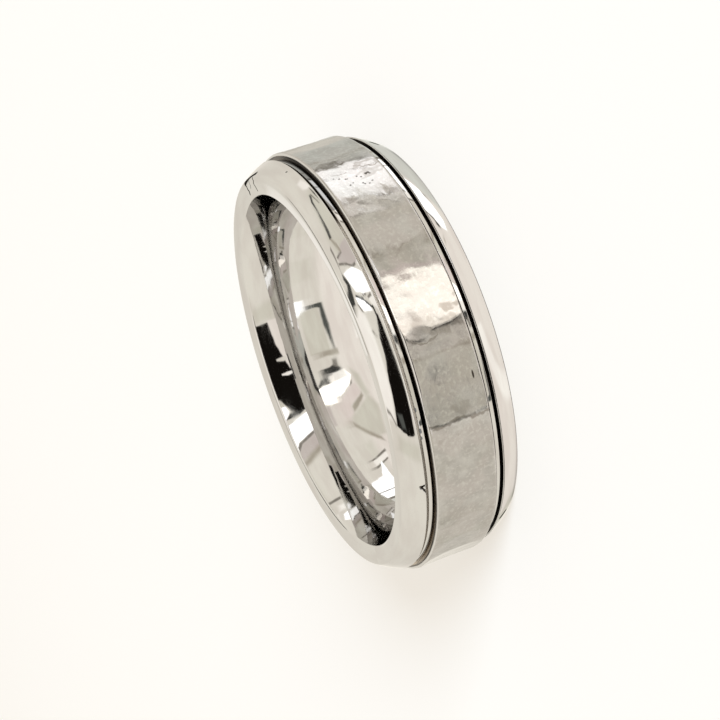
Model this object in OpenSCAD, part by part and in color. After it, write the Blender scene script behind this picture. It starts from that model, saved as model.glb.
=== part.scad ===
// Hammered ring, lying on its back face.
// Units are millimetres. The ring's axis is +Z and its back face rests on z = 0.

/* [Ring] */
// Inside diameter at the narrowest place
bore_d = 18.64; // [16:0.02:22]
// Width along the axis
ring_w = 6.5; // [6:0.1:8]
// Thickness of the metal at the raised centre
wall_t = 2.28; // [2.2:0.02:3]

/* [Bore] */
// Length of the straight stretch in the middle of the bore
bore_land = 0.8; // [0.6:0.1:1.2]
// Radius of the long curve from the straight stretch to the mouth
dome_r = 8.6; // [7:0.1:12]
// Radius of the rounded lip at the mouth
lip_r = 0.16; // [0.1:0.02:0.3]
// How far the lip lies below the face
lip_drop = 0.08; // [0.03:0.01:0.1]

/* [Rails] */
// Width of the flat ring that the part rests on
flat_w = 0.17; // [0.1:0.01:0.25]
// Distance from the raised centre's surface in to the crease of the face
crease_in = 0.855; // [0.75:0.01:0.95]
// Radius that softens the crease
crease_r = 0.15; // [0.05:0.01:0.2]
// Length of a bevelled rail along the axis
rail_w = 1.125; // [0.9:0.025:1.3]
// How far the rail's edge lies below the raised centre
rail_in = 0.23; // [0.22:0.01:0.3]
// Height of the bevel's bulge over its chord
bevel_bulge = 0.045; // [0.02:0.005:0.1]

/* [Grooves] */
// Width of the cut beside the rail
outer_cut_w = 0.14; // [0.1:0.01:0.2]
// Width of the thin strip between the two cuts
strip_w = 0.215; // [0.15:0.005:0.3]
// Width of the cut at the foot of the raised centre
inner_cut_w = 0.1; // [0.08:0.01:0.15]
// How far the strip lies below the raised centre
strip_in = 0.35; // [0.3:0.01:0.4]
// How far the cuts' floors lie below the raised centre
cut_in = 0.56; // [0.5:0.01:0.7]

/* [Hammered centre] */
// Radius of the raised centre's rounded edges
edge_r = 0.14; // [0.08:0.01:0.2]
// Depth of all the hammer marks, as a share of the depths in their table
mark_share = 1; // [0.5:0.1:1.5]

/* [Nick] */
// Angle of the small nick in the front rail's edge
nick_angle = -129; // [-180:1:180]
// Radius of the nick
nick_r = 0.13; // [0.08:0.01:0.2]

/* [Hidden] */
$fn = 96;

bore_r = bore_d / 2;
centre_r = bore_r + wall_t;
half_w = ring_w / 2;
land_half = bore_land / 2;

// The lip's arc stops this far round from the bore's direction
lip_turn = 84;
// Turn of the long curve, so that it meets the lip's arc smoothly
dome_turn = asin((half_w - land_half - lip_drop - lip_r * sin(lip_turn)) / (dome_r - lip_r));
// Middle of the lip's arc
lip_x = bore_r + dome_r - (dome_r - lip_r) * cos(dome_turn);
lip_y = land_half + (dome_r - lip_r) * sin(dome_turn);

crease_x = centre_r - crease_in;
rail_r = centre_r - rail_in;
strip_r = centre_r - strip_in;
cut_r = centre_r - cut_in;

// The bevel's chord, its slope down from the face and the arc over it
bevel_run = rail_r - crease_x;
bevel_chord = norm([bevel_run, rail_w]);
bevel_slope = atan2(rail_w, bevel_run);
bevel_r = pow(bevel_chord, 2) / (8 * bevel_bulge) + bevel_bulge / 2;
bevel_half_turn = asin(bevel_chord / 2 / bevel_r);
crease_turn = bevel_slope - bevel_half_turn;
crease_run = crease_r * tan(crease_turn / 2);
// Middle of the bevel's arc
bevel_x = rail_r - bevel_r * sin(bevel_slope + bevel_half_turn);
bevel_y = half_w - rail_w - bevel_r * cos(bevel_slope + bevel_half_turn);
// The part of the bevel's turn that the softened crease takes
crease_share = crease_run / bevel_chord * 2 * bevel_half_turn;

// Heights above the middle plane at which the groove steps
rail_y = half_w - rail_w;
strip_top_y = rail_y - outer_cut_w;
strip_low_y = strip_top_y - strip_w;
centre_y = strip_low_y - inner_cut_w;

// Each hammer mark, flat round the ring: angle, depth in the middle, half length along the axis,
// shift of the deepest place along the axis, slant of the mark
MARKS = [
    [-178, 0.05, 1.5, 0.1, 3],
    [-168, 0.1, 1.8, 0, -2],
    [-157, 0.04, 1.4, -0.1, 4],
    [-147, 0.03, 1.3, 0.2, -4],
    [-138, 0.025, 1.5, -0.2, 3],
    [-130, 0.02, 1.4, 0.1, 5],
    [-123, 0.015, 1.3, -0.3, -3],
    [-117, 0.02, 1.8, -0.2, -6],
    [-107.5, 0.045, 3, 0.4, 5],
    [-99.5, 0.03, 1.4, -0.3, -4],
    [-92.9, 0.012, 2.5, 0, 2],
    [-86.8, 0.045, 0.8, 0.85, 0],
    [-81.4, 0.11, 4.5, 1, 3],
    [-63, 0.03, 1.5, -0.1, -4],
    [-54, 0.012, 1, 0.4, 4],
    [-27, 0.03, 1.5, 0.1, -3],
    [-17, 0.03, 1.3, -0.1, 4],
    [-5, 0.05, 1.6, 0.1, -3],
    [7, 0.06, 1.5, -0.1, 4],
    [19, 0.05, 1.3, 0.1, -4],
    [30, 0.07, 1.6, 0, 3],
    [42, 0.05, 1.4, -0.1, 5],
    [54, 0.06, 1.6, 0.15, -3],
    [66, 0.05, 1.4, -0.1, 2],
    [77, 0.07, 1.6, 0, -4],
    [89, 0.05, 1.4, 0.1, 3],
    [101, 0.06, 1.5, -0.1, -3],
    [112, 0.05, 1.3, 0.1, 4],
    [124, 0.07, 1.7, 0, -2],
    [136, 0.05, 1.4, -0.15, 4],
    [148, 0.06, 1.5, 0.1, -4],
    [159, 0.05, 1.3, -0.1, 3],
    [171, 0.06, 1.5, 0.1, -3]
];
ANGLE = 0;
DEPTH = 1;
REACH = 2;
SHIFT = 3;
SLANT = 4;

// Length of a marking tool, well past its mark on both sides, and its smoothness
tool_l = 7;
tool_steps = 720;

// Points on an arc about (x, y), from one angle to another
function arc(x, y, r, from, to, steps) =
    [for (i = [0:steps]) let (a = from + (to - from) * i / steps) [x + r * cos(a), y + r * sin(a)]];

// Upper half of the ring's section as (radius, height above the middle plane),
// from the bore over the face and down the grooves to the raised centre
function bore_side() = concat(
    arc(bore_r + dome_r, land_half, dome_r, 180, 180 - dome_turn, 8),
    arc(lip_x, lip_y, lip_r, 180 - dome_turn, 180 - lip_turn, 5)
);
function face_side() = concat(
    [[crease_x - crease_run - flat_w, half_w]],
    arc(crease_x - crease_run, half_w - crease_r, crease_r, 90, 90 - crease_turn, 4),
    arc(bevel_x, bevel_y, bevel_r,
        90 - crease_turn - crease_share, 90 - bevel_slope - bevel_half_turn, 6)
);
function groove_side() = [
    [cut_r, rail_y], [cut_r, strip_top_y],
    [strip_r, strip_top_y], [strip_r, strip_low_y],
    [cut_r, strip_low_y], [cut_r, centre_y]
];
function centre_side() = arc(centre_r - edge_r, centre_y - edge_r, edge_r, 90, 0, 4);

half_section = concat(bore_side(), face_side(), groove_side(), centre_side());
other_half = [for (i = [len(half_section) - 1:-1:0]) [half_section[i][0], -half_section[i][1]]];

// The ring before hammering, its middle plane at height 0
module turned_band() {
    rotate_extrude() polygon(concat(half_section, other_half));
}

// One long shallow tool laid across the raised centre
module hammer_mark(mark) {
    depth = mark[DEPTH] * mark_share;
    tool_r = pow(mark[REACH], 2) / (2 * depth);
    rotate([0, 0, mark[ANGLE]])
        translate([centre_r - depth + tool_r, 0, mark[SHIFT]])
            rotate([mark[SLANT], 0, 0])
                rotate([90, 0, 0])
                    cylinder(r = tool_r, h = tool_l, center = true, $fn = tool_steps);
}

module rail_nick() {
    rotate([0, 0, nick_angle])
        translate([rail_r + nick_r / 2, 0, rail_y])
            sphere(r = nick_r);
}

module ring_band() {
    color([0.80, 0.78, 0.75])
        translate([0, 0, half_w])
            difference() {
                turned_band();
                for (mark = MARKS) hammer_mark(mark);
                rail_nick();
            }
}

ring_band();
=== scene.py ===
import math

import bpy
import numpy as np
from mathutils import Matrix, Vector


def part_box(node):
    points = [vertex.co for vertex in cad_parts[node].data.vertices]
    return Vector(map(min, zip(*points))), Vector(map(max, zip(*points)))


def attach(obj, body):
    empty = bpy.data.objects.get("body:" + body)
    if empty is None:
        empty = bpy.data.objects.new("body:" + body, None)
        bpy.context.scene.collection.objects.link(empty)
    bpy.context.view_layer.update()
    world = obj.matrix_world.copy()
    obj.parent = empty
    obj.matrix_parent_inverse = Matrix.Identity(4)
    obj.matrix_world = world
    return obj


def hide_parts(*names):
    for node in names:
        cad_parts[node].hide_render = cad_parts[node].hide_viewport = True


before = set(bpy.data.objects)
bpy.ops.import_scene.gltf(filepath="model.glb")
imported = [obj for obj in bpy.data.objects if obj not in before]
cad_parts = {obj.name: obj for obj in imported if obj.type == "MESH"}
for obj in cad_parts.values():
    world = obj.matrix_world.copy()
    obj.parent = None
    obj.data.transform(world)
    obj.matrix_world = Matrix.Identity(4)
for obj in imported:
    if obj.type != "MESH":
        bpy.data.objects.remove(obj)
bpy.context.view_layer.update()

# Sizes are in millimetres up to the point where a mesh is made
MM = 0.001
low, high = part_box("ring_band")
RING_W = (high.z - low.z) / MM
CENTRE_R = high.x / MM
HALF_W = RING_W / 2

# Bore and lip
WALL_T = 2.28
BORE_LAND = 0.8
DOME_R = 8.6
LIP_R = 0.16
LIP_TURN = 84
LIP_DROP = 0.08

# Rails
FLAT_W = 0.17
CREASE_IN = 0.855
CREASE_R = 0.15
RAIL_W = 1.125
RAIL_IN = 0.23
BEVEL_BULGE = 0.045
RAIL_EDGE_R = 0.05
# Share of the bevel before the nick, and steps along it before and across the nick
BEVEL_PLAIN_SHARE = 0.55
BEVEL_PLAIN_STEPS = 5
BEVEL_NICK_STEPS = 14

# Grooves
OUTER_CUT_W = 0.14
STRIP_W = 0.215
INNER_CUT_W = 0.1
STRIP_IN = 0.35
CUT_IN = 0.56
STRIP_EDGE_R = 0.03

# Steps along the other arcs of the section, and points across the raised centre
DOME_STEPS = 10
LIP_STEPS = 7
CREASE_STEPS = 4
CORNER_STEPS = 4
STRIP_STEPS = 3
EDGE_STEPS = 7
CENTRE_POINTS = 31

# Hammered centre
EDGE_R = 0.14
# Points of its rounded edge that are polished
EDGE_POLISHED = 4
# Broad hammer marks, flat round the ring: angle from +X, depth in the middle, half length along the axis,
# shift of the deepest place along the axis, slant of the mark
MARKS = [
    (-178, 0.05, 1.5, 0.1, 3),
    (-168, 0.1, 1.8, 0, -2),
    (-157, 0.04, 1.4, -0.1, 4),
    (-147, 0.03, 1.3, 0.2, -4),
    (-138, 0.025, 1.5, -0.2, 3),
    (-130, 0.02, 1.4, 0.1, 5),
    (-123, 0.015, 1.3, -0.3, -3),
    (-117, 0.02, 1.8, -0.2, -6),
    (-107.5, 0.045, 3, 0.4, 5),
    (-99.5, 0.03, 1.4, -0.3, -4),
    (-92.9, 0.012, 2.5, 0, 2),
    (-86.8, 0.045, 0.8, 0.85, 0),
    (-81.4, 0.11, 4.5, 1, 3),
    (-63, 0.03, 1.5, -0.1, -4),
    (-54, 0.012, 1, 0.4, 4),
    (-27, 0.03, 1.5, 0.1, -3),
    (-17, 0.03, 1.3, -0.1, 4),
    (-5, 0.05, 1.6, 0.1, -3),
    (7, 0.06, 1.5, -0.1, 4),
    (19, 0.05, 1.3, 0.1, -4),
    (30, 0.07, 1.6, 0, 3),
    (42, 0.05, 1.4, -0.1, 5),
    (54, 0.06, 1.6, 0.15, -3),
    (66, 0.05, 1.4, -0.1, 2),
    (77, 0.07, 1.6, 0, -4),
    (89, 0.05, 1.4, 0.1, 3),
    (101, 0.06, 1.5, -0.1, -3),
    (112, 0.05, 1.3, 0.1, 4),
    (124, 0.07, 1.7, 0, -2),
    (136, 0.05, 1.4, -0.15, 4),
    (148, 0.06, 1.5, 0.1, -4),
    (159, 0.05, 1.3, -0.1, 3),
    (171, 0.06, 1.5, 0.1, -3),
]
# How far the creases between the marks are rounded over
CREASE_SOFT = 0.003
# A mark is worked out this many degrees to each side, in this many rounds, and out to this share of
# its tool's radius. Past the limit, in degrees, its surface would run off to nowhere
MARK_SPAN = 40
MARK_LIMIT = 60
MARK_ROUNDS = 3
TOOL_SHARE = 0.9

# Small dents of the round end of the hammer: rows across, columns round, spread of radius and depth,
# and how far each is moved from its place in the grid, as a share of the grid's step
PEEN_ROWS = 4
PEEN_COLUMNS = 60
PEEN_R = (0.5, 0.9)
PEEN_DEPTH = (0.002, 0.011)
PEEN_SCATTER = 0.4
PEEN_SEED = 11
# Angles between which the small dents are fainter, and their share of depth there
CALM = (-112, -93)
CALM_SHARE = 0.3

# The most visible small dents: angle from +X and distance from the front face, half sizes round the ring
# and along the axis, and depth
DENTS = [
    (-38.2, 3.95, 0.22, 0.90, 0.007),
    (-43.2, 3.80, 0.20, 0.80, 0.006),
    (-39.2, 2.40, 0.18, 0.60, 0.006),
    (-35.2, 2.60, 0.25, 0.80, 0.008),
    (-53.5, 2.70, 0.45, 0.50, 0.012),
    (-55.5, 3.60, 0.40, 0.45, 0.012),
    (-50.5, 4.00, 0.40, 0.45, 0.011),
    (-51.2, 2.10, 0.35, 0.40, 0.008),
    (-74.5, 3.00, 0.40, 0.60, 0.012),
    (-72.5, 4.20, 0.40, 0.50, 0.012),
    (-113.6, 2.60, 0.40, 0.45, 0.008),
    (-112.2, 3.75, 0.30, 0.45, 0.006),
    (-142.0, 2.60, 0.35, 0.35, 0.010),
    (-145.5, 3.40, 0.40, 0.30, 0.012),
    (-149.0, 2.90, 0.35, 0.40, 0.012),
    (-152.5, 3.80, 0.35, 0.35, 0.010),
]

# Hooked scratch in the front rail's edge: its corners as angles from +X and distances from the front face
NICK = [(-127.95, 1.08), (-128.45, 0.86), (-129.19, 0.97), (-130.2, 1.15)]
NICK_HALF_W = 0.06
NICK_DEPTH = 0.07
# Share of the nick's depth from which its faces take the grooves' painted shade
NICK_DARK = 0.25

# Steps round the ring, and the finer ones across the nick
TURNS = 560
NICK_TURNS = 40
NICK_SPAN = 1.3

# Zones of the section, which are the mesh's material numbers
POLISHED = 0
SATIN = 1
GROOVE = 2


# Section of the ring

def arc(x, y, r, start, end, steps):
    """Points on an arc, angles in degrees."""
    turns = [math.radians(start + (end - start) * i / steps) for i in range(steps + 1)]
    return [(x + r * math.cos(a), y + r * math.sin(a)) for a in turns]


def rounded(before, corner, after, r, steps=CORNER_STEPS):
    """The corner of a polyline, replaced by an arc of radius r."""
    p, a, b = Vector(corner), Vector(before), Vector(after)
    to_a = (a - p).normalized()
    to_b = (b - p).normalized()
    half = to_a.angle(to_b) / 2
    middle = p + (to_a + to_b).normalized() * (r / math.sin(half))
    first = p + to_a * (r / math.tan(half)) - middle
    last = p + to_b * (r / math.tan(half)) - middle
    return [tuple(middle + first.slerp(last, i / steps).normalized() * r) for i in range(steps + 1)]


def bore_side():
    """The long curve of the bore and the lip at its mouth."""
    bore_r = CENTRE_R - WALL_T
    land = BORE_LAND / 2
    rise = HALF_W - land - LIP_DROP - LIP_R * math.sin(math.radians(LIP_TURN))
    turn = math.degrees(math.asin(rise / (DOME_R - LIP_R)))
    lip_x = bore_r + DOME_R - (DOME_R - LIP_R) * math.cos(math.radians(turn))
    lip_y = land + (DOME_R - LIP_R) * math.sin(math.radians(turn))
    dome = arc(bore_r + DOME_R, land, DOME_R, 180, 180 - turn, DOME_STEPS)
    lip = arc(lip_x, lip_y, LIP_R, 180 - turn, 180 - LIP_TURN, LIP_STEPS)
    return dome + lip[1:]


def face_side():
    """The flat face, the crease and the bevel, and by itself the corner that the bevel ends in."""
    crease_x = CENTRE_R - CREASE_IN
    rail_r = CENTRE_R - RAIL_IN
    run = rail_r - crease_x
    chord = math.hypot(run, RAIL_W)
    slope = math.degrees(math.atan2(RAIL_W, run))
    bevel_r = chord**2 / (8 * BEVEL_BULGE) + BEVEL_BULGE / 2
    half_turn = math.degrees(math.asin(chord / 2 / bevel_r))
    steepest = math.radians(slope + half_turn)
    crease_turn = slope - half_turn
    crease_run = CREASE_R * math.tan(math.radians(crease_turn / 2))
    crease_share = crease_run / chord * 2 * half_turn
    bevel_x = rail_r - bevel_r * math.sin(steepest)
    bevel_y = HALF_W - RAIL_W - bevel_r * math.cos(steepest)
    flat = [(crease_x - crease_run - FLAT_W, HALF_W)]
    crease = arc(crease_x - crease_run, HALF_W - CREASE_R, CREASE_R, 90, 90 - crease_turn, CREASE_STEPS)
    start = 90 - crease_turn - crease_share
    end = 90 - slope - half_turn
    nicked = start + (end - start) * BEVEL_PLAIN_SHARE
    bevel = arc(bevel_x, bevel_y, bevel_r, start, nicked, BEVEL_PLAIN_STEPS)
    bevel += arc(bevel_x, bevel_y, bevel_r, nicked, end, BEVEL_NICK_STEPS)[1:]
    return flat + crease + bevel[:-1], bevel[-1]


def half_section():
    """Points of the section's upper half with their zones, from the bore to the raised centre."""
    rail_y = HALF_W - RAIL_W
    strip_top = rail_y - OUTER_CUT_W
    strip_low = strip_top - STRIP_W
    centre_y = strip_low - INNER_CUT_W
    cut_r = CENTRE_R - CUT_IN
    strip_r = CENTRE_R - STRIP_IN
    face, rail_edge = face_side()
    rail_edge = rounded(face[-1], rail_edge, (cut_r, rail_y), RAIL_EDGE_R)
    top_corner, low_corner = (strip_r, strip_top), (strip_r, strip_low)
    strip = rounded((cut_r, strip_top), top_corner, low_corner, STRIP_EDGE_R, STRIP_STEPS)
    strip += rounded(top_corner, low_corner, (cut_r, strip_low), STRIP_EDGE_R, STRIP_STEPS)
    edge = arc(CENTRE_R - EDGE_R, centre_y - EDGE_R, EDGE_R, 90, 0, EDGE_STEPS)
    points = [(p, POLISHED) for p in bore_side() + face + rail_edge]
    points += [((cut_r, rail_y), GROOVE), ((cut_r, strip_top), GROOVE)]
    points += [(p, POLISHED) for p in strip]
    points += [((cut_r, strip_low), GROOVE), ((cut_r, centre_y), GROOVE)]
    points += [(p, POLISHED) for p in edge[:EDGE_POLISHED]]
    points += [(p, SATIN) for p in edge[EDGE_POLISHED:]]
    return points


def section():
    """The whole closed section as radii, heights above the middle plane and zones."""
    upper = half_section()
    flat = upper[-1][0][1]
    across = [((CENTRE_R, y), SATIN) for y in np.linspace(flat, -flat, CENTRE_POINTS)[1:-1]]
    lower = [((r, -y), zone) for (r, y), zone in reversed(upper)]
    points = upper + across + lower
    radii = np.array([p[0] for p, zone in points])
    heights = np.array([p[1] for p, zone in points])
    return radii, heights, [zone for p, zone in points]


# Hammered surface

def apart(turn, angle):
    """Signed angle from one direction round the ring to others, in radians."""
    return (turn - angle + math.pi) % (2 * math.pi) - math.pi


def softest_low(values, k):
    """The lowest of several surfaces, its creases rounded over about k."""
    lowest = np.min(values, axis=0)
    return lowest - k * np.log(np.sum(np.exp(-(values - lowest) / k), axis=0))


def marked_radius(turn, y, mark):
    """Radius of the surface that one broad hammer mark leaves, at angles and heights. Out of the mark's reach
    it is larger than the ring."""
    angle, depth, reach, shift, slant = mark
    tool_r = reach**2 / (2 * depth)
    off = apart(turn, math.radians(angle))
    s = math.radians(slant)
    r = np.full(np.broadcast(turn, y).shape, float(CENTRE_R))
    for _ in range(MARK_ROUNDS):
        across = (y - shift) * math.cos(s) - r * np.sin(off) * math.sin(s)
        across = np.clip(across, -TOOL_SHARE * tool_r, TOOL_SHARE * tool_r)
        x = CENTRE_R - depth + tool_r - np.sqrt(tool_r**2 - across**2)
        r = x / np.maximum(np.cos(off), math.cos(math.radians(MARK_LIMIT)))
    return np.where(np.abs(off) < math.radians(MARK_SPAN), r, 2.0 * CENTRE_R)


def peen_depth(turn, y, span):
    """Depth of all the small dents at angles and heights, over a centre of that width."""
    chance = np.random.default_rng(PEEN_SEED)
    deepest = np.zeros(np.broadcast(turn, y).shape)
    for column in range(PEEN_COLUMNS):
        for row in range(PEEN_ROWS):
            sideways = chance.uniform(-PEEN_SCATTER, PEEN_SCATTER)
            angle = 2 * math.pi * (column + 0.5 * (row % 2) + sideways) / PEEN_COLUMNS
            middle = span * ((row + 0.5 + chance.uniform(-PEEN_SCATTER, PEEN_SCATTER)) / PEEN_ROWS - 0.5)
            radius = chance.uniform(*PEEN_R)
            depth = chance.uniform(*PEEN_DEPTH)
            if CALM[0] < math.degrees(angle) - 360 < CALM[1]:
                depth *= CALM_SHARE
            off = apart(turn, angle)
            away = ((off * CENTRE_R)**2 + (y - middle)**2) / radius**2
            deepest = np.maximum(deepest, depth * (1 - away))
    for angle, from_front, half_round, half_along, depth in DENTS:
        off = apart(turn, math.radians(angle))
        away = (off * CENTRE_R / half_round)**2 + ((y - HALF_W + from_front) / half_along)**2
        deepest = np.maximum(deepest, depth * (1 - away))
    return deepest


def column_turns():
    """Angles of the columns, closer together across the nick."""
    middle = math.radians(sum(angle for angle, depth in NICK) / len(NICK))
    span = math.radians(NICK_SPAN)
    plain = np.linspace(-math.pi, math.pi, TURNS, endpoint=False)
    fine = np.linspace(middle - span, middle + span, NICK_TURNS)
    return np.sort(np.concatenate([plain[np.abs(plain - middle) > span], fine]))


def nick_share(turn, y):
    """How deep the hooked scratch is at angles and heights, from 0 to 1."""
    rail_r = CENTRE_R - RAIL_IN
    corners = [np.array((math.radians(angle) * rail_r, HALF_W - depth)) for angle, depth in NICK]
    place = np.stack(np.broadcast_arrays(turn * rail_r, y), axis=-1)
    nearest = np.full(place.shape[:-1], np.inf)
    for a, b in zip(corners, corners[1:]):
        along = np.clip((place - a) @ (b - a) / np.dot(b - a, b - a), 0, 1)
        nearest = np.minimum(nearest, np.linalg.norm(place - a - along[..., None] * (b - a), axis=-1))
    return np.maximum(0, 1 - (nearest / NICK_HALF_W)**2)


def ring_surface():
    """Grid of points of the whole ring: first along the section, then round the axis."""
    radii, heights, zones = section()
    turn = column_turns()[None, :]
    y = heights[:, None]
    r = np.repeat(radii[:, None], turn.size, axis=1)
    # The rows of the raised centre, with its rounded edges
    raised = radii > CENTRE_R - 1.01 * EDGE_R
    layers = [marked_radius(turn, y[raised], mark) for mark in MARKS]
    layers.append(r[raised])
    hammered = np.minimum(softest_low(np.stack(layers), CREASE_SOFT), r[raised])
    r[raised] = hammered - peen_depth(turn, y[raised], np.ptp(y[raised]))
    nick = nick_share(turn, y) * (r > CENTRE_R - CREASE_IN)
    r -= NICK_DEPTH * nick
    grid = np.stack([r * np.cos(turn), r * np.sin(turn), np.broadcast_to(y, r.shape) + HALF_W], axis=-1)
    return grid, face_zones(np.array(zones), nick)


def face_zones(zones, nick):
    """Zone of each face of the grid. A groove's walls and the nick go in the groove's zone, whose colour is
    painted shade like the groove's floor.
    """
    after = np.roll(zones, -1)
    rows = np.where(after == GROOVE, GROOVE, zones)
    faces = np.repeat(rows[:, None], nick.shape[1], axis=1)
    faces[nick > NICK_DARK] = GROOVE
    return faces


def outward_normals(grid):
    """Normals of the grid's points, which point out of the metal."""
    along = np.roll(grid, -1, axis=0) - np.roll(grid, 1, axis=0)
    around = np.roll(grid, -1, axis=1) - np.roll(grid, 1, axis=1)
    normals = np.cross(along, around)
    return normals / np.linalg.norm(normals, axis=-1, keepdims=True)


def grid_quads(rows, columns):
    """Corners of the faces between the grid's points, which close up both ways."""
    index = np.arange(rows * columns).reshape(rows, columns)
    next_row = np.roll(index, -1, axis=0)
    corners = [index, next_row, np.roll(next_row, -1, axis=1), np.roll(index, -1, axis=1)]
    return np.stack(corners, axis=-1).reshape(-1, 4)


def ring_mesh(materials):
    """The whole ring as one closed mesh."""
    grid, faces = ring_surface()
    rows, columns = grid.shape[:2]
    normals = outward_normals(grid)
    quads = grid_quads(rows, columns)
    mesh = bpy.data.meshes.new("ring_metal")
    mesh.from_pydata((grid.reshape(-1, 3) * MM).tolist(), [], quads.tolist())
    mesh.polygons.foreach_set("material_index", faces.ravel().astype(np.int32))
    mesh.polygons.foreach_set("use_smooth", np.ones(rows * columns, bool))
    for material in materials:
        mesh.materials.append(material)
    mesh.normals_split_custom_set_from_vertices(normals.reshape(-1, 3).tolist())
    mesh.update()
    ring = bpy.data.objects.new("ring_metal", mesh)
    bpy.context.scene.collection.objects.link(ring)
    return ring


# Materials

class Tree:
    """Adds nodes to a node tree."""

    def __init__(self, tree):
        self.tree = tree

    def node(self, kind, inputs=(), **settings):
        node = self.tree.nodes.new(kind)
        for name, value in settings.items():
            setattr(node, name, value)
        places = inputs.items() if isinstance(inputs, dict) else enumerate(inputs)
        for place, value in places:
            if isinstance(value, bpy.types.NodeSocket):
                self.tree.links.new(value, node.inputs[place])
            else:
                node.inputs[place].default_value = value
        return node

    def math(self, operation, *inputs):
        return self.node("ShaderNodeMath", inputs, operation=operation).outputs[0]

    def vector_math(self, operation, *inputs, output="Vector"):
        return self.node("ShaderNodeVectorMath", inputs, operation=operation).outputs[output]

    def fold(self, operation, values):
        """One value out of several, such as their minimum."""
        values = list(values)
        result = values[0]
        for value in values[1:]:
            result = self.math(operation, result, value)
        return result

    def ramp(self, value, low, high, start=0.0, end=1.0):
        """The value from low to high, taken smoothly to start and end."""
        return self.node("ShaderNodeMapRange", [value, low, high, start, end],
                         interpolation_type="SMOOTHSTEP").outputs[0]

    def noise(self, vector, scale, detail=2.0):
        inputs = {"Vector": vector, "Scale": scale, "Detail": detail}
        return self.node("ShaderNodeTexNoise", inputs).outputs[0]

    def object_place(self):
        return self.node("ShaderNodeTexCoord").outputs["Object"]

    def mix(self, share, first, second):
        """Colour between two colours."""
        ends = [tuple(c) + (1,) if isinstance(c, tuple) else c for c in (first, second)]
        return self.node("ShaderNodeMixRGB", [share, *ends]).outputs[0]

    def bump(self, height, distance, normal=None):
        inputs = {"Height": height, "Distance": distance, "Strength": 1.0}
        if normal:
            inputs["Normal"] = normal
        return self.node("ShaderNodeBump", inputs).outputs[0]

    def cylinder(self):
        """Place on the ring in millimetres: round it from +X, along its axis and out from its axis."""
        x, y, z = self.node("ShaderNodeSeparateXYZ", [self.object_place()]).outputs
        turn = self.math("ARCTAN2", y, x)
        squares = self.math("ADD", self.math("MULTIPLY", x, x), self.math("MULTIPLY", y, y))
        radius = self.math("DIVIDE", self.math("SQRT", squares), MM)
        return self.math("MULTIPLY", turn, CENTRE_R), self.math("DIVIDE", z, MM), radius

    def place(self, x, y, z, stretch=(1, 1, 1)):
        """Vector of three numbers, each stretched."""
        scaled = [
            self.math("MULTIPLY", value, by) if by != 1 else value
            for value, by in zip((x, y, z), stretch)
        ]
        return self.node("ShaderNodeCombineXYZ", scaled).outputs[0]


def new_material(name, colour, roughness, metallic=1.0):
    """A material, its node tree and the inputs of its shader."""
    material = bpy.data.materials.new(name)
    material.use_nodes = True
    shader = material.node_tree.nodes["Principled BSDF"]
    shader.inputs["Base Color"].default_value = (*colour, 1)
    shader.inputs["Roughness"].default_value = roughness
    shader.inputs["Metallic"].default_value = metallic
    return material, Tree(material.node_tree), shader.inputs


def join(tree, socket, place):
    tree.tree.links.new(socket, place)


# Colours of the polished metal, linear
POLISH = (0.60, 0.59, 0.57)
POLISH_RANGE = (0.57, 0.555, 0.545), (0.62, 0.617, 0.605)
SCRATCH_COLOUR = (0.008, 0.006, 0.004)
# Colours of the satin metal
CLOTH = (0.43, 0.42, 0.40)
CLOTH_RANGE = (0.39, 0.379, 0.365), (0.465, 0.456, 0.443)
CLOTH_TINT = (0.455, 0.425, 0.411)
CLOTH_SPECKLE = (0.51, 0.50, 0.48)
# Colour of the satin's patches, partly stain and partly painted shade
STAIN_AND_SHADE_COLOUR = (0.16, 0.135, 0.11)
# Colour of the painted shade in its pits
PIT_SHADE_COLOUR = (0.04, 0.033, 0.026)
# Colours of the grooves: the painted shade that darkens their cuts and the nick, and its streaked range
GROOVE_SHADE = (0.05, 0.045, 0.04)
GROOVE_SHADE_RANGE = (0.016, 0.013, 0.011), (0.12, 0.09, 0.07)
# Brown of the painted reflection on the front groove's walls
REFLECTION_BROWN = (0.46, 0.39, 0.31)
# Pale of the painted reflection in the cut beside the rail
PALE_REFLECTION = (0.75, 0.73, 0.70)
# What metal mirrors at a grazing angle
GRAZING = (0.8, 0.8, 0.8, 1)

# Heights of the finest relief, in metres
WAVES = 2.2e-6
HAIRS = 6e-8
DIMPLES = 4e-6
GRAIN = 2.2e-6

# How fine streaks are round the ring, along its axis and outwards, per millimetre: wipes and hairlines of the
# polished metal, and the streaks in the grooves' painted shade and painted reflection
WIPES_FINE = (0.3, 1.5, 1.5)
HAIRS_FINE = (0.6, 30, 30)
GROOVE_STREAKS_FINE = (0.5, 8, 8)
# How fine even noise is per millimetre, and its detail
WAVES_NOISE = (0.9, 2.0)
CLOUDS_NOISE = (1.1, 4.0)
GRAIN_NOISE = (5.0, 3.0)
TINTS_NOISE = (0.7, 2.0)
DIMPLES_NOISE = (2.4, 1.0)

# Roughness of the polished and the satin metal, from least to most, and what a hairline adds
POLISHED_ROUGH = (0.03, 0.09)
SATIN_ROUGH = (0.09, 0.17)
HAIR_ROUGH = 0.06

# How soft a scratch's edge is, as a share of its half width, and how sharply it stops to mirror
SCRATCH_SOFT = 0.25
SCRATCH_POWER = 8.0

# Middle of the thin strip in the front groove, as radius and distance from the front face
STRIP_MIDDLE = (CENTRE_R - STRIP_IN, RAIL_W + OUTER_CUT_W + STRIP_W / 2)

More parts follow.
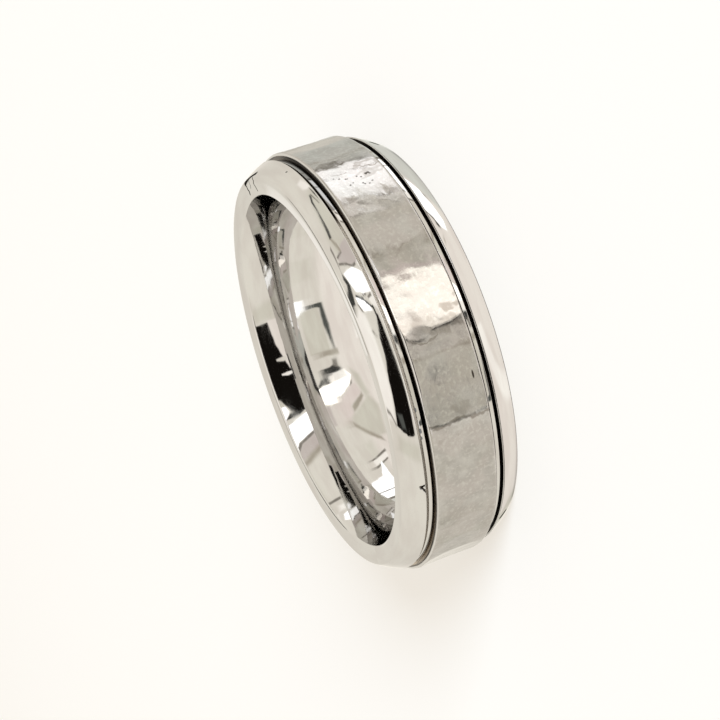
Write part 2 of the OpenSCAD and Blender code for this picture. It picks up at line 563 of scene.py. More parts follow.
# Dark scratches, chips and tarnish in the polished metal: half width, strength, then corners as angle
# from +X, radius from the axis and distance from the front face, in millimetres
SCRATCHES = [
    (0.20, 1.0, [(-154.9, 11.24, 5.72), (-154.0, 11.13, 5.95)]),
    (0.06, 0.8, [(-106.8, 11.26, 1.28), (-107.3, 11.26, 1.28)]),
    (0.08, 0.8, [(-112.4, 11.26, 1.28), (-113.0, 11.26, 1.29)]),
    (0.05, 0.8, [(-114.4, 11.26, 1.28), (-114.8, 11.26, 1.29)]),
    (0.17, 1.0, [(-23.9, 11.20, 5.82), (-25.2, 11.12, 6.00)]),
    (0.05, 1.0, [(-26.7, 11.24, 0.77), (-26.9, 11.24, 0.80)]),
    (0.13, 1.0, [(-8.4, 10.94, 0.23), (-5.2, 10.85, 0.12), (-1.1, 10.76, 0.03), (1.9, 10.66, 0.01)]),
    (0.07, 1.0, [
        (2.1, 10.65, 0.01), (1.2, 10.48, 0.02), (1.4, 10.32, 0.02), (0.9, 10.18, 0.03), (1.5, 10.04, 0.04),
    ]),
    (0.05, 1.0, [
        (-7.2, 10.76, 0.03), (-7.9, 10.60, 0.01), (-7.0, 10.42, 0.02), (-7.6, 10.23, 0.03),
        (-7.9, 10.02, 0.04),
    ]),
    (0.04, 0.8, [(-3.6, 10.74, 0.03), (-2.8, 10.60, 0.01), (-3.1, 10.43, 0.02), (-2.0, 10.27, 0.03)]),
    (0.055, 1.0, [
        (-127.95, 11.31, 1.08), (-128.45, 11.30, 0.86), (-129.19, 11.31, 0.97), (-130.2, 11.33, 1.12),
    ]),
    (0.09, 1.0, [(-128.4, 11.30, 0.86), (-128.8, 11.30, 0.90)]),
    (0.12, 0.6, [(angle, *STRIP_MIDDLE) for angle in range(-50, -4, 5)]),
]


def on_ring(angle, radius, from_front):
    """Place in metres."""
    turn = math.radians(angle)
    return Vector((radius * math.cos(turn), radius * math.sin(turn), RING_W - from_front)) * MM


def from_polyline(tree, place, points):
    """Distance of a place from a polyline."""
    distances = []
    for a, b in zip(points, points[1:]):
        run = b - a
        start = tree.vector_math("SUBTRACT", place, a)
        along = tree.vector_math("DOT_PRODUCT", start, run / run.length_squared, output="Value")
        along = tree.node("ShaderNodeMath", [along, 0.0], operation="ADD", use_clamp=True).outputs[0]
        foot = tree.node("ShaderNodeVectorMath", {0: run, "Scale": along}, operation="SCALE").outputs[0]
        distances.append(tree.vector_math("DISTANCE", start, foot, output="Value"))
    return tree.fold("MINIMUM", distances)


def lines_share(tree, place, lines, soft):
    """How much the lines darken a place. Each is a half width, a strength and points, soft at its edge."""
    shares = []
    for half_w, strength, points in lines:
        away = tree.math("DIVIDE", from_polyline(tree, place, points), half_w)
        shares.append(tree.ramp(away, 1 - soft, 1 + soft, strength, 0.0))
    return tree.fold("MAXIMUM", shares)


def polished_metal():
    """Buffed metal: faint waves left by the wheel, hairlines round the ring, duller wipes and dark scratches,
    which don't mirror."""
    material, tree, inputs = new_material("polished_white_metal", POLISH, 0.05)
    x, y, z = tree.cylinder()
    plain = tree.place(x, y, z)
    wipes = tree.noise(tree.place(x, y, z, WIPES_FINE), 1.0, 3.0)
    hairs = tree.noise(tree.place(x, y, z, HAIRS_FINE), 1.0, 1.0)
    mottled = tree.mix(tree.ramp(wipes, 0.35, 0.65), *POLISH_RANGE)
    scratches = [
        (half_w * MM, strength, [on_ring(*corner) for corner in corners])
        for half_w, strength, corners in SCRATCHES
    ]
    dark = lines_share(tree, tree.object_place(), scratches, SCRATCH_SOFT)
    join(tree, tree.mix(dark, mottled, SCRATCH_COLOUR), inputs["Base Color"])
    join(tree, tree.math("SUBTRACT", 1.0, tree.math("POWER", dark, SCRATCH_POWER)), inputs["Metallic"])
    inputs["Specular Tint"].default_value = GRAZING
    inputs["Specular IOR Level"].default_value = 0.0
    wiped = tree.ramp(wipes, 0.45, 0.75, *POLISHED_ROUGH)
    join(tree, tree.math("ADD", wiped, tree.ramp(hairs, 0.55, 0.8, 0.0, HAIR_ROUGH)), inputs["Roughness"])
    waves = tree.bump(tree.noise(plain, *WAVES_NOISE), WAVES)
    join(tree, tree.bump(hairs, HAIRS, waves), inputs["Normal"])
    return material


# Pits in the satin centre, which the mesh doesn't hold, their shade painted dark: angle from +X and distance
# from the front face, with half sizes round the ring and along the axis, in millimetres
PITS = [
    (-102.85, 4.45, 0.21, 0.05),
    (-43.0, 3.80, 0.09, 0.07),
    (-42.8, 3.92, 0.07, 0.09),
    (-43.3, 3.98, 0.05, 0.06),
    (-42.0, 2.44, 0.05, 0.05),
    (-42.8, 2.72, 0.05, 0.05),
    (-42.9, 2.80, 0.04, 0.04),
    (-43.0, 3.30, 0.05, 0.05),
    (-43.7, 3.48, 0.05, 0.05),
    (-46.2, 3.36, 0.05, 0.05),
    (-46.7, 3.42, 0.05, 0.04),
    (-47.0, 3.64, 0.04, 0.05),
    (-46.3, 3.86, 0.04, 0.06),
    (-45.6, 2.73, 0.05, 0.05),
    (-45.1, 2.92, 0.04, 0.04),
    (-41.3, 2.20, 0.04, 0.04),
]
# Square of the distance over which a pit's painted shade ends, 1 being its edge, and how dark that painted
# shade is
PIT_EDGE = (0.6, 1.4)
PIT_SHADE_STRENGTH = 0.95

# Darker, warmer patches in and beside the satin centre's dents and hammer marks, partly stains, partly
# painted shade:
# angle from +X and distance from the front face, half sizes round the ring and along the axis in millimetres,
# and strength
STAINS_AND_SHADE = [
    (-88.5, 2.6, 0.55, 0.9, 0.44),
    (-84.6, 4.4, 0.22, 0.25, 0.55),
    (-88.6, 3.9, 0.30, 0.70, 0.45),
    (-110.6, 3.4, 0.28, 0.50, 0.32),
    (-114.9, 2.4, 0.20, 0.60, 0.18),
    (-139.5, 2.9, 0.50, 0.6, 0.10),
    (-144.0, 2.4, 0.30, 0.4, 0.16),
    (-38.6, 4.2, 0.16, 0.55, 0.50),
    (-42.6, 3.9, 0.14, 0.70, 0.38),
    (-34.8, 2.4, 0.20, 0.60, 0.50),
]
# Square of the distance at which a patch of stain and painted shade has faded out, 1 being its edge
STAIN_AND_SHADE_END = 2.4

# Painted shade in fine dark lines along the creases of hammer marks and dents in the satin centre: half width
# in millimetres, strength, then corners as angle from +X and distance from the front face
CREASE_SHADE_LINES = [
    (0.09, 0.60, [
        (-112.0, 1.6), (-112.9, 2.2), (-112.9, 2.6), (-112.2, 3.1), (-112.1, 3.5), (-112.8, 3.95),
        (-112.6, 4.9),
    ]),
    (0.045, 0.60, [(-35.9, 1.8), (-36.4, 2.5), (-36.2, 3.05), (-35.2, 3.3)]),
    (0.050, 0.65, [(-38.1, 3.6), (-39.6, 3.95), (-40.4, 4.4), (-40.2, 4.75)]),
    (0.040, 0.45, [(-39.4, 2.2), (-40.5, 2.5), (-40.2, 3.0)]),
    (0.040, 0.50, [
        (-88.8, 1.7), (-91.2, 2.0), (-92.2, 2.5), (-91.8, 3.0), (-90.3, 3.5), (-89.4, 4.1), (-88.6, 4.8),
    ]),
]
# How soft the edge of a line of painted crease shade is, as a share of its half width
CREASE_SHADE_SOFT = 0.6

# Noise that makes edges ragged: how fine it is per millimetre, and how far it moves them in millimetres
CREASE_SHADE_RAGGED = (3.2, 0.06)
PATCH_RAGGED_ROUND = (1.7, 0.28)
PATCH_RAGGED_ALONG = (2.1, 0.3)


def in_oval(tree, x, y, angle, from_front, half_x, half_y):
    """Square of the distance from an oval's middle, which is 1 at its edge."""
    across = tree.math("DIVIDE", tree.math("SUBTRACT", x, math.radians(angle) * CENTRE_R), half_x)
    along = tree.math("DIVIDE", tree.math("SUBTRACT", y, RING_W - from_front), half_y)
    return tree.math("ADD", tree.math("MULTIPLY", across, across), tree.math("MULTIPLY", along, along))


def ragged(tree, value, plain, fine, most):
    """A distance moved to and fro by noise."""
    return tree.math("ADD", value, tree.ramp(tree.noise(plain, fine, 1.0), 0.3, 0.7, -most, most))


def stain_and_shade_share(tree, plain, x, y):
    """How much the patches of stain and painted shade, and the painted shade along creases, darken the satin
    metal. Noise makes their edges ragged.
    """
    wavy_x = ragged(tree, x, plain, *CREASE_SHADE_RAGGED)
    ragged_x = ragged(tree, x, plain, *PATCH_RAGGED_ROUND)
    ragged_y = ragged(tree, y, plain, *PATCH_RAGGED_ALONG)
    shares = [
        tree.ramp(in_oval(tree, ragged_x, ragged_y, *oval), 0.0, STAIN_AND_SHADE_END, strength, 0.0)
        for *oval, strength in STAINS_AND_SHADE
    ]
    # Painted shade in thin lines along the creases of hammer marks and dents
    shade_lines = [
        (half_w, strength, [
            Vector((math.radians(angle) * CENTRE_R, RING_W - from_front, 0)) for angle, from_front in corners
        ])
        for half_w, strength, corners in CREASE_SHADE_LINES
    ]
    shares.append(lines_share(tree, tree.place(wavy_x, y, 0.0), shade_lines, CREASE_SHADE_SOFT))
    return tree.fold("MAXIMUM", shares)


def satin_metal():
    """Brushed-down hammered metal: cloudy grain, tiny dimples, a few warmer patches of stain and painted
    shade, painted shade along creases, and the painted shade of pits.
    """
    material, tree, inputs = new_material("satin_white_metal", CLOTH, 0.13)
    inputs["Specular Tint"].default_value = GRAZING
    x, y, z = tree.cylinder()
    plain = tree.place(x, y, z)
    clouds = tree.noise(plain, *CLOUDS_NOISE)
    grain = tree.noise(plain, *GRAIN_NOISE)
    tints = tree.noise(plain, *TINTS_NOISE)
    cloth = tree.mix(tree.ramp(clouds, 0.38, 0.62), *CLOTH_RANGE)
    tinted = tree.mix(tree.ramp(tints, 0.4, 0.6, 0.0, 0.5), cloth, CLOTH_TINT)
    speckled = tree.mix(tree.ramp(grain, 0.48, 0.70, 0.0, 0.8), tinted, CLOTH_SPECKLE)
    stained_and_shaded = tree.mix(stain_and_shade_share(tree, plain, x, y), speckled, STAIN_AND_SHADE_COLOUR)
    pits = tree.fold("MINIMUM", [in_oval(tree, x, y, *pit) for pit in PITS])
    pit_shade = tree.ramp(pits, *PIT_EDGE, PIT_SHADE_STRENGTH, 0.0)
    join(tree, tree.mix(pit_shade, stained_and_shaded, PIT_SHADE_COLOUR), inputs["Base Color"])
    join(tree, tree.ramp(clouds, 0.3, 0.7, *SATIN_ROUGH), inputs["Roughness"])
    dimples = tree.bump(tree.noise(plain, *DIMPLES_NOISE), DIMPLES)
    join(tree, tree.bump(grain, GRAIN, dimples), inputs["Normal"])
    return material


# Middle of the stretch of the front groove that the photograph shows, as angle from +X
GROOVE_MIDDLE = -99
# Stretches along the groove, in millimetres from that middle, over which the painted brown reflection ends,
# begins again and turns fainter, and over which the painted pale reflection in the cut beside the rail comes
# in fully and then gives way to the painted shade
CORE_ENDS = (-4.8, -3.4)
CORE_BEGINS = (1.0, 2.5)
CORE_FADES = (7.0, 14.0)
PALE_REFLECTION_BEGINS = (-4.2, -2.6)
PALE_REFLECTION_ENDS = (8.6, 9.8)
# Share of the painted brown reflection left where it is faint, and of the painted pale reflection before it
# is full
CORE_FAINT = 0.2
PALE_REFLECTION_PARTLY = 0.65
# Distance outwards or inwards from the middle of the painted brown reflection over which it ends, in
# millimetres
CORE_EDGE = (0.08, 0.17)


def groove_metal():
    """Painted shade that darkens the floor and walls of the grooves. In the front groove, the walls carry a
    painted brown reflection on both sides of its middle, and the cut beside the rail carries a painted pale
    reflection up to a place past it."""
    material, tree, inputs = new_material("groove_painted_shade", GROOVE_SHADE, 0.35)
    x, y, z = tree.cylinder()
    away = tree.math("SUBTRACT", x, math.radians(GROOVE_MIDDLE) * CENTRE_R)
    groove_streaks = tree.noise(tree.place(x, y, z, GROOVE_STREAKS_FINE), 1.0, 3.0)
    dark = tree.mix(tree.ramp(groove_streaks, 0.45, 0.7), *GROOVE_SHADE_RANGE)
    # Painted brown reflection: a patchy band round the strip's radius on the front groove's walls
    from_core = tree.math("ABSOLUTE", tree.math("SUBTRACT", z, CENTRE_R - STRIP_IN))
    patchy = tree.ramp(groove_streaks, 0.25, 0.5, 0.4, 1.0)
    core = tree.math("MULTIPLY", tree.ramp(from_core, *CORE_EDGE, 1.0, 0.0), patchy)
    before = tree.ramp(away, *CORE_ENDS, 1.0, 0.0)
    after = tree.ramp(away, *CORE_BEGINS, 0.0, 1.0)
    sides = tree.math("MAXIMUM", before, after)
    groove_w = OUTER_CUT_W + STRIP_W + INNER_CUT_W
    in_front = tree.math("COMPARE", y, RING_W - RAIL_W - groove_w / 2, groove_w * 0.52)
    fading = tree.ramp(away, *CORE_FADES, 1.0, CORE_FAINT)
    cored = tree.mix(tree.fold("MULTIPLY", [core, sides, in_front, fading]), dark, REFLECTION_BROWN)
    # Painted pale reflection in the cut beside the rail, over a stretch of the front groove
    pale_rising = tree.ramp(away, *PALE_REFLECTION_BEGINS, PALE_REFLECTION_PARTLY, 1.0)
    pale_share = tree.math("MINIMUM", tree.ramp(away, *PALE_REFLECTION_ENDS, 1.0, 0.0), pale_rising)
    beside_rail = tree.math("COMPARE", y, RING_W - RAIL_W - OUTER_CUT_W / 2, OUTER_CUT_W * 0.7)
    pale_reflected = tree.mix(tree.math("MULTIPLY", pale_share, beside_rail), cored, PALE_REFLECTION)
    join(tree, pale_reflected, inputs["Base Color"])
    return material


# Light

# Soft light at the side: azimuth from -Y towards +X and height over the floor in degrees, distance and
# size in metres, power in watts, and colour
SIDE_LIGHT_AZIMUTH = 22
SIDE_LIGHT_HEIGHT = 12
SIDE_LIGHT_AWAY = 2.0
SIDE_LIGHT_SIZE = 0.8
SIDE_LIGHT_W = 255
SIDE_LIGHT_COLOUR = (0.70, 0.84, 1.0)

# Floor: size in metres, colour, and the glow that lights its shadows
FLOOR_SIZE = 6
FLOOR_COLOUR = (0.2, 0.198, 0.195)
FLOOR_GLOW = (1.0, 0.93, 0.83, 1)
FLOOR_GLOW_STRENGTH = 0.65

# Strength of the panels that metal mirrors, and of the plain light for all else
PANEL_STRENGTH = 1.5
PLAIN_LIGHT = (1.0, 0.99, 0.965, 1)
PLAIN_LIGHT_STRENGTH = 0.75

# Tones of the studio's panels, linear
TONES = {
    "white": (1.6, 1.6, 1.6),
    "warm": (1.75, 1.67, 1.53),
    "bright": (1.0, 0.96, 0.89),
    "cream": (0.85, 0.79, 0.72),
    "pale": (0.76, 0.72, 0.64),
    "sage": (0.66, 0.63, 0.54),
    "ash": (0.70, 0.70, 0.64),
    "blush": (0.78, 0.69, 0.64),
    "pink": (0.60, 0.54, 0.50),
    "clay": (0.42, 0.38, 0.31),
    "taupe": (0.24, 0.22, 0.19),
    "slate": (0.09, 0.095, 0.085),
    "dim": (0.05, 0.05, 0.046),
    "black": (0.006, 0.005, 0.004),
}

# Each panel that the metal mirrors: its tone, how far its edge is softened, and its corners as directions
# from the ring. Azimuth runs from -Y towards +X, and height is over the floor, both in degrees. Later panels
# lie over earlier ones. A panel is what lies inside the lines of all its sides, so a hollow corner cuts it
# back to the lines that meet there.
PANELS = [
    # High fields
    ("bright", 3, [(-120, 66), (120, 66), (120, 80), (-120, 80)]),
    ("bright", 1.2, [(177, 4), (177, 12), (190, 12), (190, 4)]),
    ("dim", 1.5, [(145, 34), (145, 52), (185, 52), (185, 34)]),
    ("bright", 2, [(-48, 43), (-30, 43), (18, 40), (30, 47), (20, 60), (-20, 62), (-45, 56)]),
    ("sage", 3, [(62, 17), (62, 36), (75, 34), (102, 17), (104, 8), (80, 14)]),
    ("pink", 1, [(49, 20), (49, 28), (58, 38.5), (62, 38), (64, 30), (64, 17), (53, 18)]),
    # High dark panel and the pale strip under it
    ("sage", 3, [(-56, 20), (-56, 42), (-66, 42), (-66, 20)]),
    ("black", 0.5, [
        (-48.5, 20.5), (-51.6, 26.5), (-52.5, 32), (-49.5, 42.3), (-20, 42.3), (0, 38.5), (6, 37.2),
        (18.8, 30.3), (18.5, 20),
    ]),
    ("pale", 0.5, [(-53, 19.5), (-53, 24.2), (-22, 26.3), (-22, 22.9)]),
    ("pale", 0.5, [(-22, 22.9), (-22, 26.3), (0, 28.1), (19, 28.4), (24, 23.3)]),
    ("slate", 1.3, [(-49.6, 33), (-49, 37), (-40.5, 40.5), (-40.5, 36)]),
    ("taupe", 0.8, [(-50.5, 43), (-48.5, 43), (-37, 52), (-39.5, 52)]),
    # Dark folds at the top
    ("dim", 1, [(13, 56), (14, 54.5), (27, 51.5), (35, 46.5), (38, 48), (37, 53), (27, 54.5)]),
    ("dim", 1, [(35, 53), (33, 48), (44, 42.5), (47, 43), (46, 46), (38, 53)]),
    ("dim", 0.6, [(44, 42), (44, 45.5), (52, 45.5), (55, 43), (48, 42.5)]),
    ("taupe", 0.8, [(52, 44.5), (53, 42.5), (66, 38), (71, 35.5), (70, 38.5)]),
    # High white panels and the thin lines between them
    ("white", 0.6, [(22, 32.5), (26, 33.5), (34, 40), (36, 44), (30, 44), (25, 42)]),
    ("white", 0.8, [(31, 24.3), (47, 23.5), (49, 30), (57, 38), (57, 42), (45, 41.5), (38, 40), (33, 33)]),
    ("bright", 0.8, [(20, 24.5), (20, 28.8), (25, 30), (29, 34), (30, 24)]),
    ("taupe", 0.5, [(18.5, 36.5), (19.5, 36), (30, 44), (34.5, 44.8), (33, 46), (26, 44.5)]),
    ("dim", 0.4, [(18, 29.2), (18, 31), (24, 31.3), (24.5, 29.6)]),
    ("dim", 0.4, [(23, 29.8), (22.6, 31.2), (31.8, 39.3), (33, 38)]),
    ("dim", 0.5, [(31, 36.5), (30.8, 38), (36, 43.5), (37.3, 42.5)]),
    ("taupe", 0.5, [(28.6, 26), (28.6, 31), (30, 31), (31, 26)]),
    ("taupe", 0.5, [(31, 31.5), (32, 36), (33.5, 36), (32.3, 31)]),
    ("taupe", 0.6, [(7.5, 40), (8, 41), (12, 42.8), (12.5, 41.5)]),
    ("taupe", 0.5, [(48.3, 25), (48.3, 28.5), (50, 28.5), (49.8, 24.5)]),
    ("taupe", 0.6, [(49, 27.5), (48.6, 29), (58.5, 41), (59.8, 40)]),
    ("taupe", 0.7, [(61, 38), (63, 38), (62, 31.5), (61, 31.5)]),
    ("clay", 0.8, [(61.5, 30.5), (62, 32.8), (73, 32.2), (73, 30.8)]),
    ("dim", 0.6, [(72, 30.3), (72.5, 32.3), (97, 19.8), (96.5, 18)]),
    ("dim", 0.5, [(96, 18), (96.5, 19.6), (100.8, 15.8), (99.8, 14.8)]),
    ("taupe", 0.4, [(91, 15.2), (91, 16), (100.5, 15), (100.5, 14)]),
    ("dim", 0.4, [(86, 13.4), (86, 14.4), (99, 12.4), (113, 8), (112.5, 6.8), (99, 11.2)]),
    ("bright", 1.5, [(104, 8.5), (104.5, 12.5), (107, 14.5), (113, 12.5), (113.5, 8), (108, 8.2)]),
    # Dark panel in front, the marks on it and what stands beside it
    ("sage", 3, [(-44, 3), (-43, 20), (-53, 20), (-57, 3)]),
    ("black", 0.4, [
        (-42.3, 3), (-41.3, 22.5), (-5, 22.9), (5, 22.2), (13, 19), (19.5, 15), (21.3, 9), (21, 2),
    ]),
    ("cream", 0.6, [(-43, 2), (-43, 10.8), (-26, 9.8), (-16, 7), (-8, 4.6), (-8, 2)]),
    ("pale", 0.6, [(-16.8, 5), (-16.6, 8), (-15.9, 13), (-14.8, 13), (-13.5, 8), (-13.8, 5)]),
    ("bright", 0.4, [(-6, 4), (-6.2, 8), (-5.8, 12.6), (-4.8, 12.6), (-3.9, 8), (-4.2, 4)]),
    ("dim", 0.5, [(21.2, 3), (20.3, 12), (20.8, 17), (24, 20.5), (28.8, 22.8), (27, 18), (23, 9), (22.2, 3)]),
    ("sage", 0.4, [(5, 22.4), (5, 24), (16, 24), (15.5, 18), (12, 19.8)]),
    ("white", 0.4, [(15.5, 24), (15.3, 18.5), (19.5, 17), (24.5, 21), (26, 24)]),
    ("white", 0.3, [(22.3, 2), (29, 23), (43, 23), (41, 17), (36, 3)]),
    ("white", 0.3, [(41, 17), (43, 23), (50, 22.5), (45, 19.5)]),
    ("taupe", 0.7, [(36, 3), (38.3, 3), (44, 17), (42, 17.5), (39, 11)]),
    ("taupe", 0.5, [(42, 17), (44, 16), (50, 19.8), (46, 20.3)]),
    ("pink", 1.2, [(38.3, 3), (43, 15), (48, 19), (56, 18.5), (51, 10), (48, 3)]),
    ("clay", 2, [(46.5, 3), (51, 12), (56, 19), (60, 18.5), (55, 10), (51, 3)]),
    ("taupe", 0.7, [(90, 4), (91, 12), (93, 12), (92.5, 4)]),
    ("bright", 1.5, [(97, 3), (97, 7), (102, 7), (102, 3)]),
    ("white", 0.6, [(104.5, 2.5), (106, 5.5), (111, 5.5), (114, 2.5)]),
    # Low fields
    ("cream", 3, [(-200, -8), (200, -8), (200, -95), (-200, -95)]),
    ("pale", 3, [(-200, -8), (200, -8), (200, -24), (-200, -24)]),
    ("sage", 6, [(-104, -17), (-104, -18.5), (-112, -18.5), (-112, -17)]),
    ("sage", 5, [(-124, -16), (-124, -20), (-132, -20), (-132, -16)]),
    ("sage", 4, [(-66, -16), (-66, -18), (-80, -18), (-80, -16)]),
    ("sage", 4, [(62, -18), (62, -21), (72, -21), (72, -18)]),
    ("white", 0.5, [(-50.5, -11), (-50.5, -15.4), (-41, -15.4), (-39, -11)]),
    # Low grey frame
    ("slate", 0.5, [(-45.3, -15.7), (-45.8, -23), (-42, -21.5), (-42.5, -15.7)]),
    ("slate", 1.2, [
        (-45.5, -19.5), (-45.5, -23.5), (-30, -25.3), (-10, -25.3), (-10, -21), (-30, -20.8), (-40, -19),
    ]),
    ("sage", 0.8, [(-41, -14), (-42.5, -15.7), (-42.5, -19), (-30, -20.5), (-11, -20.8), (-11, -14)]),
    ("clay", 1, [(-11.3, -15.5), (-11, -27), (-7, -27), (-8, -15.5)]),
    # Low white panel with its dark wedge and borders
    ("dim", 0.6, [(0.5, -15.3), (-1, -20), (3.8, -25.5), (6.3, -15.3)]),
    ("taupe", 1, [(-4.5, -19.5), (-4.3, -23.5), (2, -22.5), (0, -18.5)]),
    ("dim", 0.6, [(5.5, -16), (11, -15.8), (12.5, -11), (10, -12.5)]),
    ("blush", 1.2, [(16.5, -28), (23.5, -16), (31, -16), (30, -22), (24, -33), (17, -31)]),
    ("warm", 0.5, [(6, -16), (4.6, -26.5), (10, -30.3), (15.5, -27), (21.5, -16.5), (21, -15.5)]),
    ("warm", 0.4, [(12.5, -11), (11, -15.8), (25.3, -15.8), (23.5, -11)]),
    ("taupe", 0.8, [(10, -30.5), (16, -28.5), (23, -16.3), (21.3, -16.3), (15, -27.5)]),
    ("pink", 1, [(25.3, -11.5), (25.5, -14.5), (40, -14.5), (40, -12)]),
    ("clay", 1.2, [(31, -21), (35.5, -21), (34, -25), (28, -33.5), (24, -33), (29.5, -24)]),
    ("blush", 2, [(27, -15.5), (28, -20.5), (38, -20.5), (42, -15.5)]),
    ("bright", 0.8, [(4.6, -16), (4.6, -26), (10.5, -28), (10.5, -16)]),
    ("sage", 2, [(5, -31), (12, -31.5), (30, -35), (28, -39), (12, -37)]),
    ("sage", 2, [(38, -17), (42, -17), (60, -28), (62, -36), (40, -42), (28, -38), (33, -28)]),
    ("clay", 1.2, [(41.5, -16.5), (45, -16.5), (56, -23.5), (66, -31.5), (62, -31), (52, -24)]),
    # Low bright panels at the side
    ("taupe", 0.5, [(71, -28), (74.3, -16.3), (75.6, -16.3), (73.3, -28)]),
    ("bright", 0.5, [(74, -27.5), (75.8, -16.5), (80.5, -16.5), (78, -27)]),
    ("taupe", 0.5, [(78.5, -26), (81, -16.3), (82.8, -16.3), (80, -26)]),
    ("white", 0.4, [(74, -26), (80, -20), (98, -14), (113.5, -14), (113.5, -21), (107, -21), (72, -30)]),
    # What the satin centre shows towards the top
    ("ash", 2, [(115, -14), (115, -22), (147, -22), (147, -12)]),
    ("taupe", 0.5, [(113.5, -14), (116, -14), (116.5, -22), (114, -22)]),
    ("clay", 0.5, [(122.5, -14), (124, -14), (125, -22), (123.5, -22)]),
    ("taupe", 0.4, [(104.7, -14), (105.7, -14), (106.5, -22), (105.5, -22)]),
    ("clay", 2, [(157, -12), (165, -12), (165, -20), (157, -20)]),
    # What the back rail shows
    ("white", 0.7, [
        (88, -54), (92, -49), (104, -44.5), (114, -41), (116, -50), (110, -62), (98, -64.5), (90, -61),
    ]),
    ("bright", 2, [(-8, -63.5), (-8, -72), (-135, -74), (-135, -66)]),
    ("bright", 1.5, [(-15, -46), (-15, -54), (-66, -50.5), (-66, -45)]),
    ("bright", 1.5, [(-66, -45), (-66, -50.5), (-105, -38.5), (-105, -33)]),
    ("sage", 3, [(-150, -20), (-150, -34), (-165, -34), (-165, -20)]),
    ("ash", 3, [
        (118, -37), (130, -28), (172, -14), (172, -27), (153, -41), (139, -52), (128, -60), (119, -52),
    ]),
    ("dim", 0.7, [
        (113, -42), (115, -42), (118, -50), (117, -56), (108, -64), (106, -63), (114, -55), (115.5, -50),
    ]),
    ("taupe", 0.7, [(87, -52), (88.5, -52), (90.5, -57), (88, -60), (86.5, -58)]),
    ("dim", 1, [(83.5, -58), (87, -57), (88, -60), (84, -60.5)]),
    ("clay", 0.8, [(58, -59.5), (60, -59), (70, -60.3), (84, -59), (84, -60.5), (70, -61.5)]),
    # Dark surroundings behind, which draw a thin line where the metal turns away
    ("dim", 3, [
        (160, -30), (151, -38), (141, -48), (131, -58), (121, -69), (119, -80), (185, -80), (185, -30),
    ]),
    ("dim", 3, [
        (-160, -30), (-151, -38), (-141, -47), (-131, -57), (-123, -66), (-118, -74), (-117, -80),
        (-185, -80), (-185, -30),
    ]),
]


def direction(tree):
    """The ray's direction as azimuth and height in degrees, with 1 as the third number."""
    split = tree.node("ShaderNodeSeparateXYZ", [tree.node("ShaderNodeTexCoord").outputs["Generated"]]).outputs
    azimuth = tree.math("ARCTAN2", split[0], tree.math("MULTIPLY", split[1], -1.0))
    height = tree.math("ARCSINE", split[2])
    return tree.node("ShaderNodeCombineXYZ", [
        tree.math("DEGREES", azimuth), tree.math("DEGREES", height), 1.0,
    ]).outputs[0]


def panel(tree, towards, below, tone, soft, corners):
    """Lays one soft-edged panel over what is below it."""
    sides = list(zip(corners, corners[1:] + corners[:1]))
    area = sum(a[0] * b[1] - b[0] * a[1] for a, b in sides)
    inside = []
    for a, b in sides:
        inward = Vector((a[1] - b[1], b[0] - a[0])).normalized() * math.copysign(1, area)
        side = (*inward, -inward.dot(Vector(a)))
        inside.append(tree.vector_math("DOT_PRODUCT", towards, side, output="Value"))
    return tree.mix(tree.ramp(tree.fold("MINIMUM", inside), -soft, soft), below, TONES[tone])


def studio():
    """Surroundings: metal mirrors the panels, and everything else sees plain pale light."""
    world = bpy.data.worlds.new("studio")
    bpy.context.scene.world = world
    world.use_nodes = True
    world.node_tree.nodes.clear()
    tree = Tree(world.node_tree)
    towards = direction(tree)
    colour = TONES["pale"]
    for tone, soft, corners in PANELS:
        colour = panel(tree, towards, colour, tone, soft, corners)
    painted = tree.node("ShaderNodeBackground", [colour, PANEL_STRENGTH]).outputs[0]
    plain = tree.node("ShaderNodeBackground", [PLAIN_LIGHT, PLAIN_LIGHT_STRENGTH]).outputs[0]
    ray = tree.node("ShaderNodeLightPath").outputs["Is Glossy Ray"]
    mixed = tree.node("ShaderNodeMixShader", [ray, plain, painted]).outputs[0]
    tree.node("ShaderNodeOutputWorld", [mixed])


def pale_floor():
    """Plain floor under the ring, which the metal doesn't mirror."""
    bpy.ops.mesh.primitive_plane_add(size=FLOOR_SIZE)
    floor = bpy.context.object
    floor.name = "floor"
    material, _, inputs = new_material("pale_floor", FLOOR_COLOUR, 0.8, 0.0)
    inputs["Emission Color"].default_value = FLOOR_GLOW
    inputs["Emission Strength"].default_value = FLOOR_GLOW_STRENGTH
    floor.data.materials.append(material)
    floor.visible_glossy = False


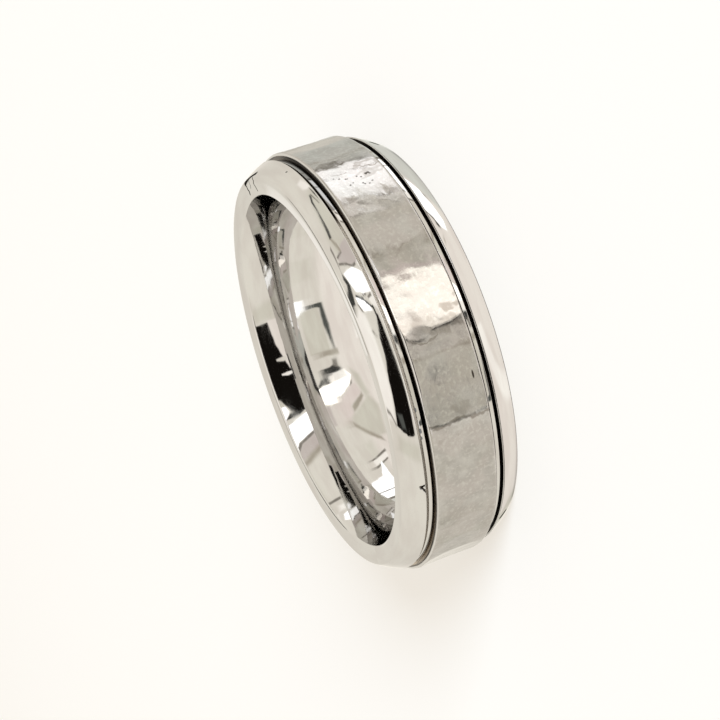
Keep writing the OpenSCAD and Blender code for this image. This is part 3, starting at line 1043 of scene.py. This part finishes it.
def side_light():
    """Soft low light, which lays the ring's faint shadow on the floor."""
    data = bpy.data.lights.new("side_light", "AREA")
    data.shape = "DISK"
    data.size = SIDE_LIGHT_SIZE
    data.energy = SIDE_LIGHT_W
    data.color = SIDE_LIGHT_COLOUR
    light = bpy.data.objects.new("side_light", data)
    azimuth = math.radians(SIDE_LIGHT_AZIMUTH)
    height = math.radians(SIDE_LIGHT_HEIGHT)
    level = Vector((math.sin(azimuth), -math.cos(azimuth), 0)) * math.cos(height)
    towards = level + Vector((0, 0, math.sin(height)))
    light.location = towards * SIDE_LIGHT_AWAY
    light.rotation_euler = towards.to_track_quat("Z", "Y").to_euler()
    light.visible_glossy = False
    bpy.context.scene.collection.objects.link(light)


# Camera

# The photograph's view: height over the ring's plane, roll, distance from the ring's middle in millimetres,
# focal length in pixels, and where the ring's middle lies in the picture
VIEW_HEIGHT = 16.973
VIEW_ROLL = -109.141
VIEW_DISTANCE = 103.05
FOCAL_PX = 1928.15
MIDDLE_PX = (367.77, 353.62)
PICTURE_PX = 720
SENSOR_MM = 36
# Nearest distance that the camera sees, in metres
NEAREST = 0.005


def photo_camera():
    height = math.radians(VIEW_HEIGHT)
    place = Vector((0, -math.cos(height), math.sin(height))) * VIEW_DISTANCE
    forward = -place.normalized()
    right = forward.cross(Vector((0, 0, 1))).normalized()
    down = -right.cross(forward)
    base = Matrix((right, down, forward))
    roll = Matrix.Rotation(math.radians(VIEW_ROLL), 3, "Z")
    aim = Vector([(px - PICTURE_PX / 2) / FOCAL_PX for px in MIDDLE_PX] + [1]).normalized()
    pan = Vector((0, 0, 1)).rotation_difference(aim).to_matrix()
    rows = pan @ roll @ base
    turn = Matrix((rows[0], -rows[1], -rows[2])).transposed()
    data = bpy.data.cameras.new("photo_camera")
    data.sensor_width = SENSOR_MM
    data.lens = FOCAL_PX * SENSOR_MM / PICTURE_PX
    data.clip_start = NEAREST
    camera = bpy.data.objects.new("photo_camera", data)
    camera.matrix_world = Matrix.Translation((place + Vector((0, 0, HALF_W))) * MM) @ turn.to_4x4()
    bpy.context.scene.collection.objects.link(camera)
    bpy.context.scene.camera = camera


ring = ring_mesh([polished_metal(), satin_metal(), groove_metal()])
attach(ring, "root")
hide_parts("ring_band")
pale_floor()
studio()
side_light()
photo_camera()
bpy.context.scene.view_settings.view_transform = "Standard"
